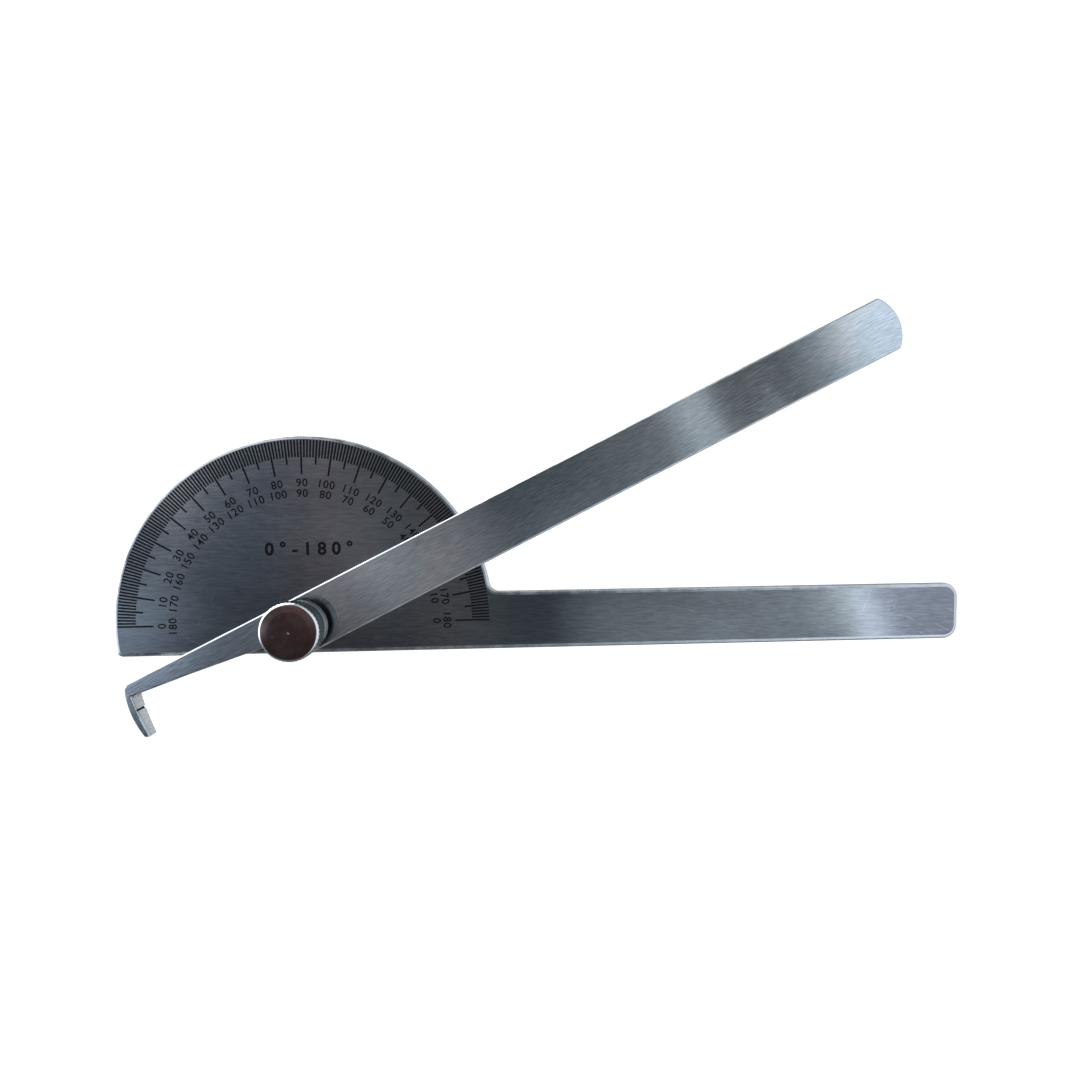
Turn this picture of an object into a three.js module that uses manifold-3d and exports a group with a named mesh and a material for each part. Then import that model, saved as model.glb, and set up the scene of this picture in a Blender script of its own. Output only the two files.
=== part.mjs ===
// A pocket protractor (goniometer) in stainless steel: a half-round graduated plate with a fixed arm,
// a moving arm with an index lip at its tail, and a knurled thumb nut that clamps the arm on its stud.
//
// Units are millimetres. The origin is on the pivot's axis, in the plane of the plate's underside.
// +X runs along the fixed arm, and +Z rises through the plate, the arm and the nut.

import * as THREE from 'three';
import { mergeVertices } from 'three/addons/utils/BufferGeometryUtils.js';
import Module from 'manifold-3d';

// Plate and fixed arm
const PLATE_THICKNESS = 1.4;
const RIM_RADIUS = 38.6;
const FIXED_ARM_TOP_EDGE = 5.9;
const FIXED_ARM_LOW_EDGE = -6.2;
const FIXED_ARM_END = 139.25;
const FIXED_ARM_CORNER_RADIUS = 3.0;
const RIM_FILLET_RADIUS = 2.0;
const PLATE_CORNER_RADIUS = 1.2;

// Moving arm, in its own frame: +X points from the pivot to the arm's end
const REST_ANGLE = THREE.MathUtils.degToRad(26.5);
const ARM_THICKNESS = 1.4;
const ARM_UNDERSIDE = 3.3;
const ARM_HALF_WIDTH = 5.7;
const ARM_END = 137.3;
const ARM_END_RADIUS = 8.5;
const ARM_BORE_RADIUS = 1.8;
const TAIL_SHOULDER = new THREE.Vector2(-5.6, -0.8);
const TAIL_KNEE = new THREE.Vector2(-24.0, 1.6);
const TAIL_TIP = new THREE.Vector2(-36.1, 2.95);

// Index lip: a wall bent down across the tail's end, a little above the plate. Its foot leans towards
// the pivot by LIP_LEAN on the arm's centre line, and by LIP_TWIST more for each millimetre of +Y
const LIP_CLEARANCE = 0.4;
const LIP_LEAN = 0.2;
const LIP_TWIST = 0.1;
const LIP_OUTER_START = new THREE.Vector2(-36.4, ARM_HALF_WIDTH);
const LIP_OUTER_END = new THREE.Vector2(-37.75, -5.6);
const LIP_OUTER_SAG = 0.85;
const LIP_INNER_START = new THREE.Vector2(-36.6, -5.9);
const LIP_INNER_SAG = 0.2;
const LIP_CORNER_CUT = 0.8;

// Clamp: stud, washers and thumb nut
const ASSEMBLY_GAP = 0.3;
const STUD_RADIUS = 1.5;
const STUD_TOP = 9.4;
const STUD_TIP_CHAMFER = 0.4;
const STUD_HEAD_RADIUS = 2.9;
const STUD_HEAD_DEPTH = 1.0;
const COUNTERSINK_RADIUS = 3.4;
const PLATE_BORE_RADIUS = 1.8;
const FRICTION_WASHER_RADIUS = 4.6;
const FLAT_WASHER_RADIUS = 5.2;
const FLAT_WASHER_THICKNESS = 0.6;
const WASHER_BORE_RADIUS = 1.8;
const WASHER_CHAMFER = 0.12;
const NUT_COLLAR_RADIUS = 4.4;
const NUT_HEAD_BOTTOM = 7.6;
const NUT_HEAD_RADIUS = 5.75;
const NUT_TOP = 11.1;
const NUT_CHAMFER = 0.45;
const NUT_BORE_RADIUS = 1.8;
const NUT_BORE_TOP = 9.8;
const KNURL_TEETH = 40;
const KNURL_DEPTH = 0.22;

// Facets
const RIM_STEPS = 64;
const CORNER_STEPS = 5;
const ROUND_STEPS = 40;

const steel = new THREE.MeshStandardMaterial({ color: 0x6f767c, roughness: 0.38, metalness: 1.0 });
const armSteel = new THREE.MeshStandardMaterial({ color: 0x8a9196, roughness: 0.35, metalness: 1.0 });
const washerSteel = new THREE.MeshStandardMaterial({ color: 0x7d858a, roughness: 0.3, metalness: 1.0 });
const studSteel = new THREE.MeshStandardMaterial({ color: 0x90959a, roughness: 0.3, metalness: 1.0 });
const nutSteel = new THREE.MeshStandardMaterial({ color: 0x9aa09f, roughness: 0.22, metalness: 1.0 });
const nylon = new THREE.MeshStandardMaterial({ color: 0x24262a, roughness: 0.7, metalness: 0.0 });

const wasm = await Module();
wasm.setup();

/** A closed three.js geometry as a manifold-3d solid. */
function toSolid(geometry) {
  const bare = geometry.clone();
  bare.deleteAttribute('normal');
  bare.deleteAttribute('uv');
  const merged = mergeVertices(bare, 1e-5);
  return new wasm.Manifold(new wasm.Mesh({
    numProp: 3,
    vertProperties: new Float32Array(merged.attributes.position.array),
    triVerts: new Uint32Array(merged.index.array),
  }));
}

/** A manifold-3d solid as a three.js geometry. */
function toGeometry(solid) {
  const mesh = solid.getMesh();
  const geometry = new THREE.BufferGeometry();
  geometry.setAttribute('position', new THREE.BufferAttribute(new Float32Array(mesh.vertProperties), 3));
  geometry.setIndex(new THREE.BufferAttribute(new Uint32Array(mesh.triVerts), 1));
  const faceted = geometry.toNonIndexed();
  faceted.computeVertexNormals();
  return faceted;
}

/** An outline pushed up from one height to another. */
function prism(points, low, high) {
  const shape = new THREE.Shape(points);
  return new THREE.ExtrudeGeometry(shape, { depth: high - low, bevelEnabled: false }).translate(0, 0, low);
}

/** A profile of [radius, height] pairs turned about the Z axis. */
function turned(profile, steps = ROUND_STEPS) {
  const points = profile.map(([radius, height]) => new THREE.Vector2(radius, height));
  return new THREE.LatheGeometry(points, steps).rotateX(Math.PI / 2);
}

/** Points on an arc about a centre, from one angle to another. */
function arc(centre, radius, from, to, steps) {
  const points = [];
  for (let i = 0; i <= steps; i += 1) {
    const angle = from + ((to - from) * i) / steps;
    points.push(new THREE.Vector2(
      centre.x + radius * Math.cos(angle),
      centre.y + radius * Math.sin(angle),
    ));
  }
  return points;
}

/** Points on the arc that joins two points and bulges by sag to the right of the way between them. */
function bowed(start, end, sag, steps) {
  const chord = end.clone().sub(start);
  const half = chord.length() / 2;
  const radius = (half * half + sag * sag) / (2 * sag);
  const middle = start.clone().add(end).multiplyScalar(0.5);
  const left = new THREE.Vector2(-chord.y, chord.x).normalize();
  const centre = middle.add(left.multiplyScalar(radius - sag));
  const from = Math.atan2(start.y - centre.y, start.x - centre.x);
  const sweep = 2 * Math.asin(half / radius);
  return arc(centre, radius, from, from + sweep, steps);
}

/** The half-round head and the fixed arm as one outline, anticlockwise from the lower left corner. */
function plateOutline() {
  const endCorner = FIXED_ARM_END - FIXED_ARM_CORNER_RADIUS;
  const lowCorner = new THREE.Vector2(endCorner, FIXED_ARM_LOW_EDGE + FIXED_ARM_CORNER_RADIUS);
  const topCorner = new THREE.Vector2(endCorner, FIXED_ARM_TOP_EDGE - FIXED_ARM_CORNER_RADIUS);

  const filletY = FIXED_ARM_TOP_EDGE + RIM_FILLET_RADIUS;
  const filletX = Math.sqrt((RIM_RADIUS + RIM_FILLET_RADIUS) ** 2 - filletY ** 2);
  const fillet = new THREE.Vector2(filletX, filletY);
  const rimStart = Math.atan2(filletY, filletX);

  const cornerY = FIXED_ARM_LOW_EDGE + PLATE_CORNER_RADIUS;
  const cornerX = -Math.sqrt((RIM_RADIUS - PLATE_CORNER_RADIUS) ** 2 - cornerY ** 2);
  const corner = new THREE.Vector2(cornerX, cornerY);
  const rimEnd = Math.PI + Math.atan2(-cornerY, -cornerX);

  const centre = new THREE.Vector2(0, 0);
  return [
    ...arc(lowCorner, FIXED_ARM_CORNER_RADIUS, -Math.PI / 2, 0, CORNER_STEPS),
    ...arc(topCorner, FIXED_ARM_CORNER_RADIUS, 0, Math.PI / 2, CORNER_STEPS),
    ...arc(fillet, RIM_FILLET_RADIUS, 1.5 * Math.PI, Math.PI + rimStart, CORNER_STEPS),
    ...arc(centre, RIM_RADIUS, rimStart, rimEnd, RIM_STEPS).slice(1),
    ...arc(corner, PLATE_CORNER_RADIUS, rimEnd, 1.5 * Math.PI, CORNER_STEPS).slice(1),
  ];
}

function plateGeometry() {
  const blank = toSolid(prism(plateOutline(), 0, PLATE_THICKNESS));
  const coneDepth = (STUD_HEAD_DEPTH * (COUNTERSINK_RADIUS - PLATE_BORE_RADIUS))
    / (STUD_HEAD_RADIUS - STUD_RADIUS);
  const overcut = 1;
  const countersink = turned([
    [0, -overcut],
    [COUNTERSINK_RADIUS, -overcut],
    [COUNTERSINK_RADIUS, 0],
    [PLATE_BORE_RADIUS, coneDepth],
    [PLATE_BORE_RADIUS, PLATE_THICKNESS + overcut],
    [0, PLATE_THICKNESS + overcut],
  ]);
  return toGeometry(blank.subtract(toSolid(countersink)));
}

/** The flat of the moving arm: round end, straight sides, boss round the pivot and tapered tail. */
function armOutline() {
  const endCentre = new THREE.Vector2(ARM_END - ARM_END_RADIUS, 0);
  const endAngle = Math.asin(ARM_HALF_WIDTH / ARM_END_RADIUS);
  const shoulder = Math.atan2(TAIL_SHOULDER.y, TAIL_SHOULDER.x);
  const boss = arc(new THREE.Vector2(0, 0), ARM_HALF_WIDTH, shoulder, -Math.PI / 2, CORNER_STEPS * 2);
  return [
    ...arc(endCentre, ARM_END_RADIUS, -endAngle, endAngle, CORNER_STEPS * 2),
    new THREE.Vector2(LIP_OUTER_START.x + LIP_CORNER_CUT, ARM_HALF_WIDTH),
    new THREE.Vector2(LIP_OUTER_START.x, ARM_HALF_WIDTH - LIP_CORNER_CUT / 2),
    TAIL_TIP.clone(),
    TAIL_KNEE.clone(),
    ...boss,
  ];
}

/** The lip's plan: a bowed outer side from the tail's corner, a rounded tip and a bowed inner side. */
function lipOutline() {
  const outer = bowed(LIP_OUTER_START, LIP_OUTER_END, LIP_OUTER_SAG, CORNER_STEPS * 2);
  const inner = bowed(TAIL_TIP, LIP_INNER_START, LIP_INNER_SAG, CORNER_STEPS * 2).reverse();
  const corner = new THREE.Vector2(LIP_OUTER_START.x + LIP_CORNER_CUT, ARM_HALF_WIDTH);
  return [corner, ...outer.slice(1), ...inner];
}

/** Leans a prism below the knee height, more the lower a point is, and leaves the rest upright. */
function leaning(geometry, foot, knee) {
  const positions = geometry.attributes.position;
  for (let i = 0; i < positions.count; i += 1) {
    const drop = Math.max(0, knee - positions.getZ(i)) / (knee - foot);
    const lean = LIP_LEAN + LIP_TWIST * positions.getY(i);
    positions.setX(i, positions.getX(i) + lean * drop);
  }
  return geometry;
}

function movingArmGeometry() {
  const top = ARM_UNDERSIDE + ARM_THICKNESS;
  const flat = toSolid(prism(armOutline(), ARM_UNDERSIDE, top));
  const foot = PLATE_THICKNESS + LIP_CLEARANCE;
  const lip = toSolid(leaning(prism(lipOutline(), foot, top), foot, ARM_UNDERSIDE));
  const bore = toSolid(turned([
    [0, 0],
    [ARM_BORE_RADIUS, 0],
    [ARM_BORE_RADIUS, top * 2],
    [0, top * 2],
  ]));
  return toGeometry(flat.add(lip).subtract(bore));
}

/** The stud's head is sunk flush with the plate's underside, and its shank runs up into the nut. */
function studGeometry() {
  return turned([
    [0, 0],
    [STUD_HEAD_RADIUS, 0],
    [STUD_RADIUS, STUD_HEAD_DEPTH],
    [STUD_RADIUS, STUD_TOP - STUD_TIP_CHAMFER],
    [STUD_RADIUS - STUD_TIP_CHAMFER, STUD_TOP],
    [0, STUD_TOP],
  ]);
}

function washerGeometry(radius, low, high) {
  return turned([
    [WASHER_BORE_RADIUS, low],
    [radius - WASHER_CHAMFER, low],
    [radius, low + WASHER_CHAMFER],
    [radius, high - WASHER_CHAMFER],
    [radius - WASHER_CHAMFER, high],
    [WASHER_BORE_RADIUS, high],
    [WASHER_BORE_RADIUS, low],
  ]);
}

/** The knurled band's outline, one ridge and one valley for each tooth. */
function knurlOutline() {
  const points = [];
  for (let i = 0; i < 2 * KNURL_TEETH; i += 1) {
    const radius = i % 2 === 0 ? NUT_HEAD_RADIUS : NUT_HEAD_RADIUS - KNURL_DEPTH;
    const angle = (Math.PI * i) / KNURL_TEETH;
    points.push(new THREE.Vector2(radius * Math.cos(angle), radius * Math.sin(angle)));
  }
  return points;
}

function nutGeometry() {
  const bottom = ARM_UNDERSIDE + ARM_THICKNESS + FLAT_WASHER_THICKNESS + 2 * ASSEMBLY_GAP;
  const knurled = toSolid(prism(knurlOutline(), NUT_HEAD_BOTTOM, NUT_TOP));
  const chamfered = toSolid(turned([
    [0, NUT_HEAD_BOTTOM],
    [NUT_HEAD_RADIUS - NUT_CHAMFER / 2, NUT_HEAD_BOTTOM],
    [NUT_HEAD_RADIUS + NUT_CHAMFER, NUT_HEAD_BOTTOM + 1.5 * NUT_CHAMFER],
    [NUT_HEAD_RADIUS + NUT_CHAMFER, NUT_TOP - 1.5 * NUT_CHAMFER],
    [NUT_HEAD_RADIUS - NUT_CHAMFER / 2, NUT_TOP],
    [0, NUT_TOP],
  ]));
  const collar = toSolid(turned([
    [0, bottom],
    [NUT_COLLAR_RADIUS, bottom],
    [NUT_COLLAR_RADIUS, NUT_HEAD_BOTTOM + NUT_CHAMFER],
    [0, NUT_HEAD_BOTTOM + NUT_CHAMFER],
  ]));
  const bore = toSolid(turned([
    [0, 0],
    [NUT_BORE_RADIUS, 0],
    [NUT_BORE_RADIUS, NUT_BORE_TOP],
    [0, NUT_BORE_TOP],
  ]));
  return toGeometry(knurled.intersect(chamfered).add(collar).subtract(bore));
}

function named(name, geometry, material) {
  const mesh = new THREE.Mesh(geometry, material);
  mesh.name = name;
  return mesh;
}

const frictionWasherLow = PLATE_THICKNESS + ASSEMBLY_GAP;
const frictionWasherHigh = ARM_UNDERSIDE - ASSEMBLY_GAP;
const flatWasherLow = ARM_UNDERSIDE + ARM_THICKNESS + ASSEMBLY_GAP;
const flatWasherHigh = flatWasherLow + FLAT_WASHER_THICKNESS;

const protractor = new THREE.Group();
protractor.add(named('protractor_plate', plateGeometry(), steel));
protractor.add(named('pivot_stud', studGeometry(), studSteel));
protractor.add(named(
  'friction_washer',
  washerGeometry(FRICTION_WASHER_RADIUS, frictionWasherLow, frictionWasherHigh),
  nylon,
));

const swing = new THREE.Group();
swing.rotation.z = REST_ANGLE;
swing.add(named('moving_arm', movingArmGeometry(), armSteel));
protractor.add(swing);

const clamp = new THREE.Group();
clamp.add(named(
  'flat_washer',
  washerGeometry(FLAT_WASHER_RADIUS, flatWasherLow, flatWasherHigh),
  washerSteel,
));
clamp.add(named('thumb_nut', nutGeometry(), nutSteel));
protractor.add(clamp);

export default protractor;
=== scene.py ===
"""The looks of a pocket protractor: engraved steel plate, moving arm with an index lip, and a thumb nut.

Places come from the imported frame. Shapes that the frame's boxes don't give are named below in millimetres,
and MM turns them into metres. The pivot's axis is the Z axis, and the fixed arm runs along +X.
"""

import math

import bmesh
import bpy
from mathutils import Matrix, Vector
from mathutils.geometry import delaunay_2d_cdt


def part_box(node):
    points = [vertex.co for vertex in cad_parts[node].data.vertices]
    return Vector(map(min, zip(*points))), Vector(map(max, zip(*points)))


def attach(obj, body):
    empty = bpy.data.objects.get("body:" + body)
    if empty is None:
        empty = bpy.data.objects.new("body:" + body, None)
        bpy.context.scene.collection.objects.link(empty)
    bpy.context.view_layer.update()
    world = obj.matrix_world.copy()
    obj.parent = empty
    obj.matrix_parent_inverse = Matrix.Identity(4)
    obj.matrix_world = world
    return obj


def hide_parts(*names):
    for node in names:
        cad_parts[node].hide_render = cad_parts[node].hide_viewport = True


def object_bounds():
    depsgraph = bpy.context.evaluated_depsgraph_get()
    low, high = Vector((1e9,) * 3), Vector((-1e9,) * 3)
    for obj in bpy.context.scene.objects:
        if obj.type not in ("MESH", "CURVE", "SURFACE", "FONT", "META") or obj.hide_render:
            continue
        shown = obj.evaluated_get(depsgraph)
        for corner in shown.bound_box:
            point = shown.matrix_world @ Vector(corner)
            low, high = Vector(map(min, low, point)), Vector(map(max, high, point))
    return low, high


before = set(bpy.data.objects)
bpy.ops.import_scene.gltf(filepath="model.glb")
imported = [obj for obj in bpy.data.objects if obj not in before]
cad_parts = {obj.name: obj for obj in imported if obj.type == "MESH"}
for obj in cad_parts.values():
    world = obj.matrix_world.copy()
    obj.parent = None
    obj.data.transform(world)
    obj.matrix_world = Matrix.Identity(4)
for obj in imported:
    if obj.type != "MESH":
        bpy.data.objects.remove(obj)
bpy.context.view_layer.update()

MM = 0.001


def rgb(r, g, b):
    """A colour as nodes take it."""
    return (r, g, b, 1.0)


def grey(level):
    return rgb(level, level, level)


# Plate
FIXED_ARM_TOP_EDGE = 5.9 * MM
FIXED_ARM_CORNER_RADIUS = 3.0 * MM
RIM_FILLET_RADIUS = 2.0 * MM
PLATE_CORNER_RADIUS = 1.2 * MM
# The width and depth of an edge's rounding
PLATE_TOP_ROUNDING = (0.8 * MM, 0.35 * MM)
PLATE_LOW_ROUNDING = (0.12 * MM, 0.12 * MM)
ROUNDING_STEPS = 4
STEEP_EDGE = math.radians(40)
COUNTERSINK_DEPTH = 1.0 * MM
COUNTERSINK_GAP = 0.06 * MM

# Scale
DEGREES = 180
MARK_OUTER_RADIUS = 37.7 * MM
MARK_INNER_RADII = {10: 30.6 * MM, 5: 32.7 * MM, 1: 34.1 * MM}
MARK_WIDTHS = {10: 0.36 * MM, 5: 0.36 * MM, 1: 0.34 * MM}
OUTER_NUMBER_RADIUS = 28.95 * MM
INNER_NUMBER_RADIUS = 26.8 * MM
NUMBER_HEIGHT = 1.65 * MM
NUMBER_WEIGHT = 0.012
ENGRAVING_DEPTH = 0.07 * MM
GLYPH_STEPS = 4
SMALLEST_FLAT = 1e-5 * MM * MM
# Points of a level closer than this, in millimetres, are one
SAME_PLACE = 1e-5
LEGEND = "0°-180°"
LEGEND_HEIGHT = 2.9 * MM
LEGEND_WEIGHT = 0.03
LEGEND_CENTRE = (1.0 * MM, 15.5 * MM)
NUMBER_SPACING = 1.1
LEGEND_SPACING = 1.6

# Moving arm, in its own frame
REST_ANGLE = math.radians(26.5)
ARM_THICKNESS = 1.4 * MM
ARM_HALF_WIDTH = 5.7 * MM
ARM_END = 137.3 * MM
ARM_END_RADIUS = 8.5 * MM
ARM_EDGE_ROUNDING = 0.34 * MM
TAIL_SHOULDER = Vector((-5.6, -0.8)) * MM
TAIL_KNEE = Vector((-24.0, 1.6)) * MM
TAIL_TIP = Vector((-36.1, 2.95)) * MM
LIP_OUTER_START = Vector((-36.4, 5.7)) * MM
LIP_OUTER_END = Vector((-37.75, -5.6)) * MM
LIP_OUTER_SAG = 0.85 * MM
LIP_INNER_START = Vector((-36.6, -5.9)) * MM
LIP_INNER_SAG = 0.2 * MM
LIP_CORNER_CUT = 0.8 * MM
LIP_LEAN = 0.2 * MM
LIP_TWIST = 0.1
INDEX_WIDTH = 0.38 * MM
INDEX_DEPTH = 0.15 * MM
INDEX_BELOW_TOP = 0.12 * MM

# Clamp
BORE_RADIUS = 1.8 * MM
STUD_RADIUS = 1.5 * MM
STUD_TIP_CHAMFER = 0.4 * MM
STUD_HEAD_RADIUS = 2.9 * MM
STUD_HEAD_BREAK = (0.1 * MM, 0.06 * MM)
THREAD_PITCH = 0.5 * MM
THREAD_DEPTH = 0.14 * MM
THREAD_RUNOUT = 0.5 * MM
DRAG_WASHER_CHAMFER = 0.1 * MM
TOP_WASHER_CHAMFER = 0.14 * MM
CONTACT_GAP = 0.02 * MM

# Thumb nut
NUT_COLLAR_RADIUS = 4.4 * MM
NUT_COLLAR_CHAMFER = 0.15 * MM
NUT_HEAD_HEIGHT = 3.5 * MM
NUT_LOW_CHAMFER = 0.25 * MM
NUT_CHAMFER = 0.42 * MM
NUT_BORE_ROOF = 1.3 * MM
KNURL_DEPTH = 0.2 * MM
KNURL_TURNS = 44
KNURL_STEPS_PER_TURN = 8
KNURL_ROWS = 30
KNURL_PITCH = 1.35 * MM
KNURL_SHARPNESS = 2.2
KNURL_SMOOTH_ANGLE = math.radians(38)
# (inset from the head's radius, depth below the top), from the knurl to the groove inside the rim
NUT_RIM = ((0.08, 0.34), (0.26, 0.17), (0.42, 0.09), (0.47, 0.15))
# (inset from the groove, depth below the top), across the slightly domed top
NUT_DOME = ((0.12, 0.08), (0.60, 0.04), (1.40, 0.01))
# (radius, depth below the top), of the small centre mark
NUT_CENTRE = ((2.00, 0.00), (0.22, 0.00), (0.12, 0.08), (0.00, 0.12))

# Camera: where it stands over the plate, how it is turned, and its lens
CAMERA_PLACE = Vector((42.98, 22.15, 121.3)) * MM
CAMERA_TURN = tuple(math.radians(a) for a in (-2.660, -2.668, -0.712))
SENSOR_WIDTH = 36.0
CAMERA_LENS = 19.17

# The room overhead, as the sheet's level faces mirror it. A place is how far out a mirrored ray goes for
# each unit that it rises: along +X for the near side's brightness and for the tints, and along the moving
# arm's direction for the far side's brightness. The sides meet on a line through ROOM_MIDDLE.
NEAR_ROOM = (
    (-0.80, 0.28), (-0.62, 0.26), (-0.52, 0.22), (-0.44, 0.12), (-0.27, 0.05), (-0.20, 0.09),
    (-0.12, 0.16), (0.06, 0.16), (0.15, 0.42), (0.36, 0.60), (0.50, 0.72), (0.58, 0.76),
    (0.66, 0.86), (0.72, 0.88),
)
FAR_ROOM = (
    (-0.70, 0.17), (-0.45, 0.20), (-0.33, 0.22), (-0.26, 0.33), (-0.16, 0.22), (-0.10, 0.19),
    (-0.02, 0.08), (0.12, 0.08), (0.20, 0.11), (0.29, 0.15), (0.318, 0.28), (0.35, 0.43),
    (0.385, 0.40), (0.41, 0.15), (0.46, 0.08), (0.53, 0.11), (0.57, 0.17), (0.62, 0.34),
    (0.675, 0.72), (0.71, 0.88), (0.80, 0.92),
)
ROOM_TINTS = (
    (-0.60, (0.78, 0.98, 1.24)), (-0.44, (0.80, 0.99, 1.22)), (-0.34, (1.02, 0.98, 1.12)),
    (-0.27, (0.97, 0.99, 1.10)), (-0.20, (0.88, 1.00, 1.12)), (-0.14, (1.01, 1.00, 1.09)),
    (-0.08, (0.93, 1.00, 1.10)), (0.00, (0.78, 1.00, 1.14)), (0.25, (0.85, 1.00, 1.10)),
    (0.60, (0.86, 1.00, 1.10)), (0.68, (0.88, 1.00, 1.20)),
)
ROOM_MIDDLE = (-0.355, -0.18)
ROOM_MIDDLE_ANGLE = math.radians(13)
ROOM_EDGE_SOFTNESS = 0.07

# A strip light across the near side, and its fade into the far side
STRIP_LIGHT_PLACE = (0.628, -0.18)
STRIP_LIGHT_ANGLE = math.radians(22)
STRIP_LIGHT_HALF_WIDTH = 0.025
STRIP_LIGHT_SOFTNESS = 0.006
STRIP_LIGHT_FADE = (0.10, 0.0)
STRIP_LIGHT_LEVEL = 1.6

# A bright patch over the plate's low corner, and a dim corner over the arm's tail. They meet on a line
# through TAIL_EDGE_PLACE in the moving arm's direction. Each fade is (place of none, place of all).
TAIL_EDGE_PLACE = (-0.626, -0.262)
LOW_PATCH_LEVEL = 1.15
LOW_PATCH_FADE_X = (-0.45, -0.66)
LOW_PATCH_FADE_Y = (-0.12, -0.19)
LOW_PATCH_FADE_TAIL = (0.02, 0.055)
DIM_CORNER_LEVEL = 0.08
DIM_CORNER_FADE_X = (-0.30, -0.42)
DIM_CORNER_FADE_TAIL = (0.02, 0.0)

# The room's sides, which the edges mirror: dim towards -Y, brighter towards +Y and +X, with a window,
# over a pale bench. A fade is in a ray's own direction, as a part of its length.
SIDE_TINT = (0.95, 1.00, 1.04)
DIM_SIDE_LEVEL = 0.18
FAR_SIDE_LEVEL = 0.34
SIDE_FADE = (-0.55, 0.10)
RIGHT_SIDE_LEVEL = 0.5
RIGHT_SIDE_FADE = (0.50, 0.95)
RIGHT_SIDE_FOOT = (-0.2, 0.15)
WINDOW_SIDE = (-0.85, 0.53)
WINDOW_LEVEL = 2.3
WINDOW_FADE = (0.50, 0.80)
BENCH_LEVEL = 0.62
BENCH_FADE = (-0.45, -0.80)
CEILING_FADE = (0.62, 0.42)
LEAST_RISE = 0.06

# The area light that stands for the window: place, size, power and colour
LIGHT_PLACE = (-0.55, 0.35, 0.55)
LIGHT_SIZE = (0.5, 0.7)
LIGHT_POWER = 0.8
LIGHT_COLOUR = (0.92, 0.96, 1.0)

FLOOR_GAP = 0.05 * MM
FLOOR_HALF_SIZE = 3.0
WALL_RADIUS = 2.9
WALL_HEIGHT = 3.0

# Facets
SMOOTH_ANGLE = math.radians(34)
ROUND_STEPS = 96
ARC_STEP = math.radians(1.0)
# An arc of a smaller radius than this has one step where a large one has SMALL_ARC_SHARE
SMALL_ARC = 10 * MM
SMALL_ARC_SHARE = 6
FEWEST_STEPS = 6
BOW_STEPS = 16
BEVEL_STEPS = 3
FLAT_ANGLE = math.radians(0.5)
LEVEL_NORMAL = 0.9999

UV_PER_METRE = 5.0

# Places of the sheet pieces' materials, and of the nut's
FACE, EDGE, FILL = range(3)
SIDE, RIM, CAP = range(3)


# ---------------------------------------------------------------- outlines

def arc(centre, radius, start, end):
    """Points on an arc about a centre, from one angle to another."""
    steps = math.ceil(abs(end - start) / ARC_STEP)
    if radius < SMALL_ARC:
        steps = max(FEWEST_STEPS, steps // SMALL_ARC_SHARE)
    angles = [start + (end - start) * i / steps for i in range(steps + 1)]
    return [Vector((centre[0] + radius * math.cos(a), centre[1] + radius * math.sin(a))) for a in angles]


def circle(radius):
    """Points round the pivot."""
    angles = [2 * math.pi * i / ROUND_STEPS for i in range(ROUND_STEPS)]
    return [Vector((radius * math.cos(a), radius * math.sin(a))) for a in angles]


def bowed(start, end, sag):
    """Points on the arc that joins two points and bulges by sag to the right of the way between them."""
    chord = end - start
    half = chord.length / 2
    radius = (half * half + sag * sag) / (2 * sag)
    left = Vector((-chord.y, chord.x)).normalized()
    centre = (start + end) / 2 + left * (radius - sag)
    first = math.atan2(start.y - centre.y, start.x - centre.x)
    sweep = 2 * math.asin(half / radius)
    angles = [first + sweep * i / BOW_STEPS for i in range(BOW_STEPS + 1)]
    return [centre + Vector((math.cos(a), math.sin(a))) * radius for a in angles]


def turned_by(points, angle):
    """The same outline turned about the pivot."""
    turn = Matrix.Rotation(angle, 2)
    return [turn @ p for p in points]


def plate_outline(low, high):
    """The half-round head and the fixed arm, anticlockwise from the arm's lower end corner."""
    rim = high.y
    end_x = high.x - FIXED_ARM_CORNER_RADIUS
    fillet_y = FIXED_ARM_TOP_EDGE + RIM_FILLET_RADIUS
    fillet_x = math.sqrt((rim + RIM_FILLET_RADIUS) ** 2 - fillet_y ** 2)
    rim_start = math.atan2(fillet_y, fillet_x)
    corner_y = low.y + PLATE_CORNER_RADIUS
    corner_x = -math.sqrt((rim - PLATE_CORNER_RADIUS) ** 2 - corner_y ** 2)
    rim_end = math.pi + math.atan2(-corner_y, -corner_x)
    quarter = math.pi / 2
    lower_y = low.y + FIXED_ARM_CORNER_RADIUS
    upper_y = FIXED_ARM_TOP_EDGE - FIXED_ARM_CORNER_RADIUS
    lower_end = arc((end_x, lower_y), FIXED_ARM_CORNER_RADIUS, -quarter, 0)
    upper_end = arc((end_x, upper_y), FIXED_ARM_CORNER_RADIUS, 0, quarter)
    fillet = arc((fillet_x, fillet_y), RIM_FILLET_RADIUS, 3 * quarter, math.pi + rim_start)
    round_rim = arc((0, 0), rim, rim_start, rim_end)
    corner = arc((corner_x, corner_y), PLATE_CORNER_RADIUS, rim_end, 3 * quarter)
    return lower_end + upper_end + fillet + round_rim[1:] + corner[1:]


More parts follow.
